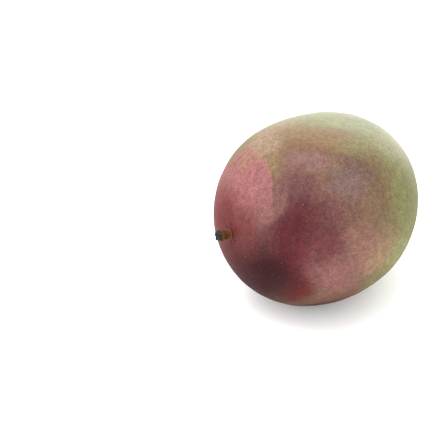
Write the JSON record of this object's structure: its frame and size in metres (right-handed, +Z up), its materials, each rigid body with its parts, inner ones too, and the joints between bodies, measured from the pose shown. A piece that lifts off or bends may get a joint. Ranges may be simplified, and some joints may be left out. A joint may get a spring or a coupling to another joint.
{
  "type": "mango",
  "caption": "Whole ripe mango with a short stem stub, lying on its side on a small flat spot.",
  "frame": {"origin": "in the small flat spot that the mango rests on, under its weight", "axes": "+X along the fruit's long axis from the stem end to the apex, which nods 2 degrees down; +Y across the fruit towards the side with the beak; +Z up"},
  "size_m": [0.1182, 0.0963, 0.0892],
  "materials": {
    "mango_skin": "waxy fruit skin, maroon and pink blush over olive green, satin",
    "stem_wood": "rough brown bark with a dark broken end"
  },
  "bodies": {
    "root": {"fruit": "mango_skin", "stem": "stem_wood"}
  },
  "joints": []
}
